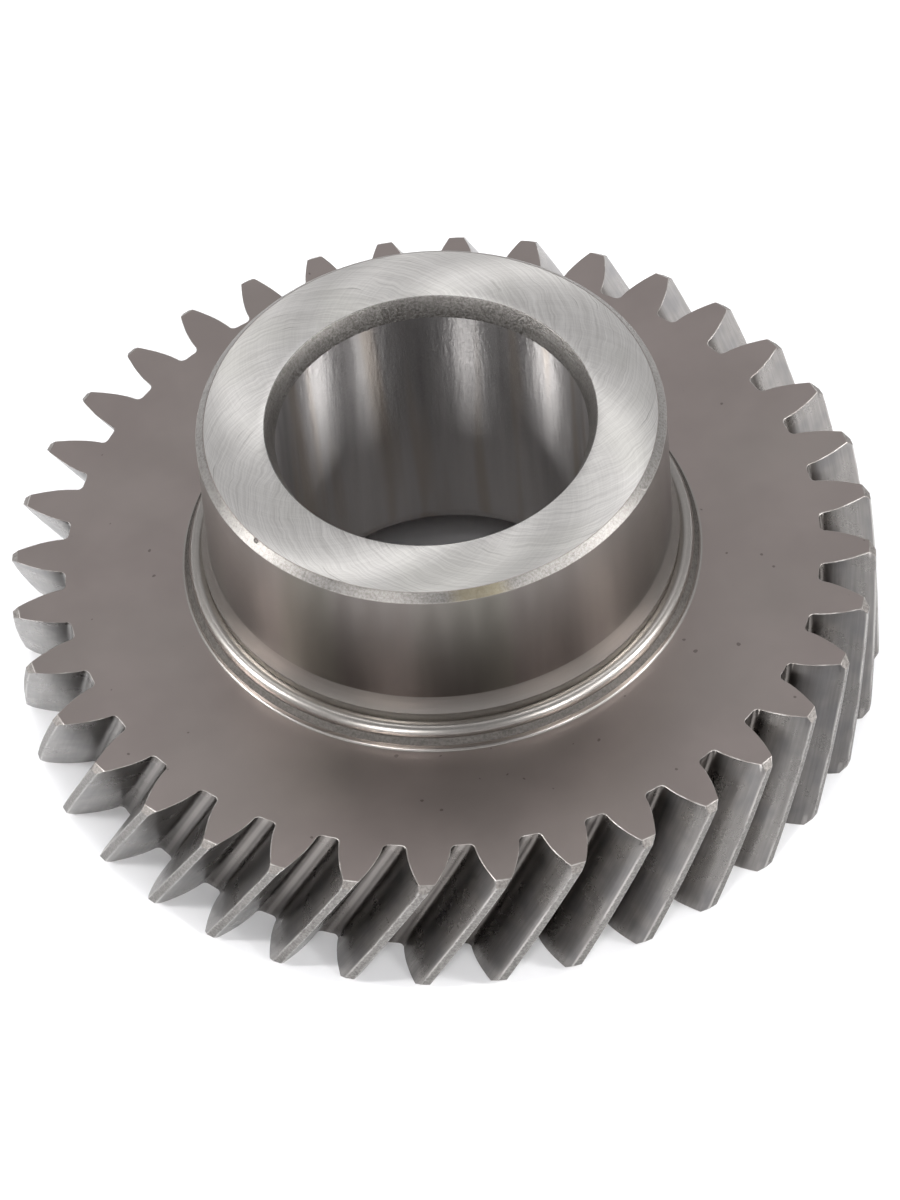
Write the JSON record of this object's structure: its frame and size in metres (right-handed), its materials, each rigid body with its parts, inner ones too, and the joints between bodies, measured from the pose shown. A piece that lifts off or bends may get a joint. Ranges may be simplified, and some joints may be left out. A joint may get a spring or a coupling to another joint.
{
  "type": "helical transmission gear",
  "caption": "Helical gear with a toothed rim on a plain web, a long ground hub to one side, a smooth bore with lead-in cones and a stepped, beaded foot where the hub meets the web.",
  "frame": {"origin": "on the gear's axis, in the plane of the plain face of the rim that the gear rests on", "axes": "+Z along the bore, from the plain face towards the end of the hub; +X through the middle of a tooth at the face on the hub side"},
  "size_m": [0.112, 0.112, 0.0457],
  "materials": {
    "gear_steel": "machined steel, satin grey on the web, ground bright on the hub end"
  },
  "bodies": {
    "root": {"helical_gear": "gear_steel"}
  },
  "joints": []
}
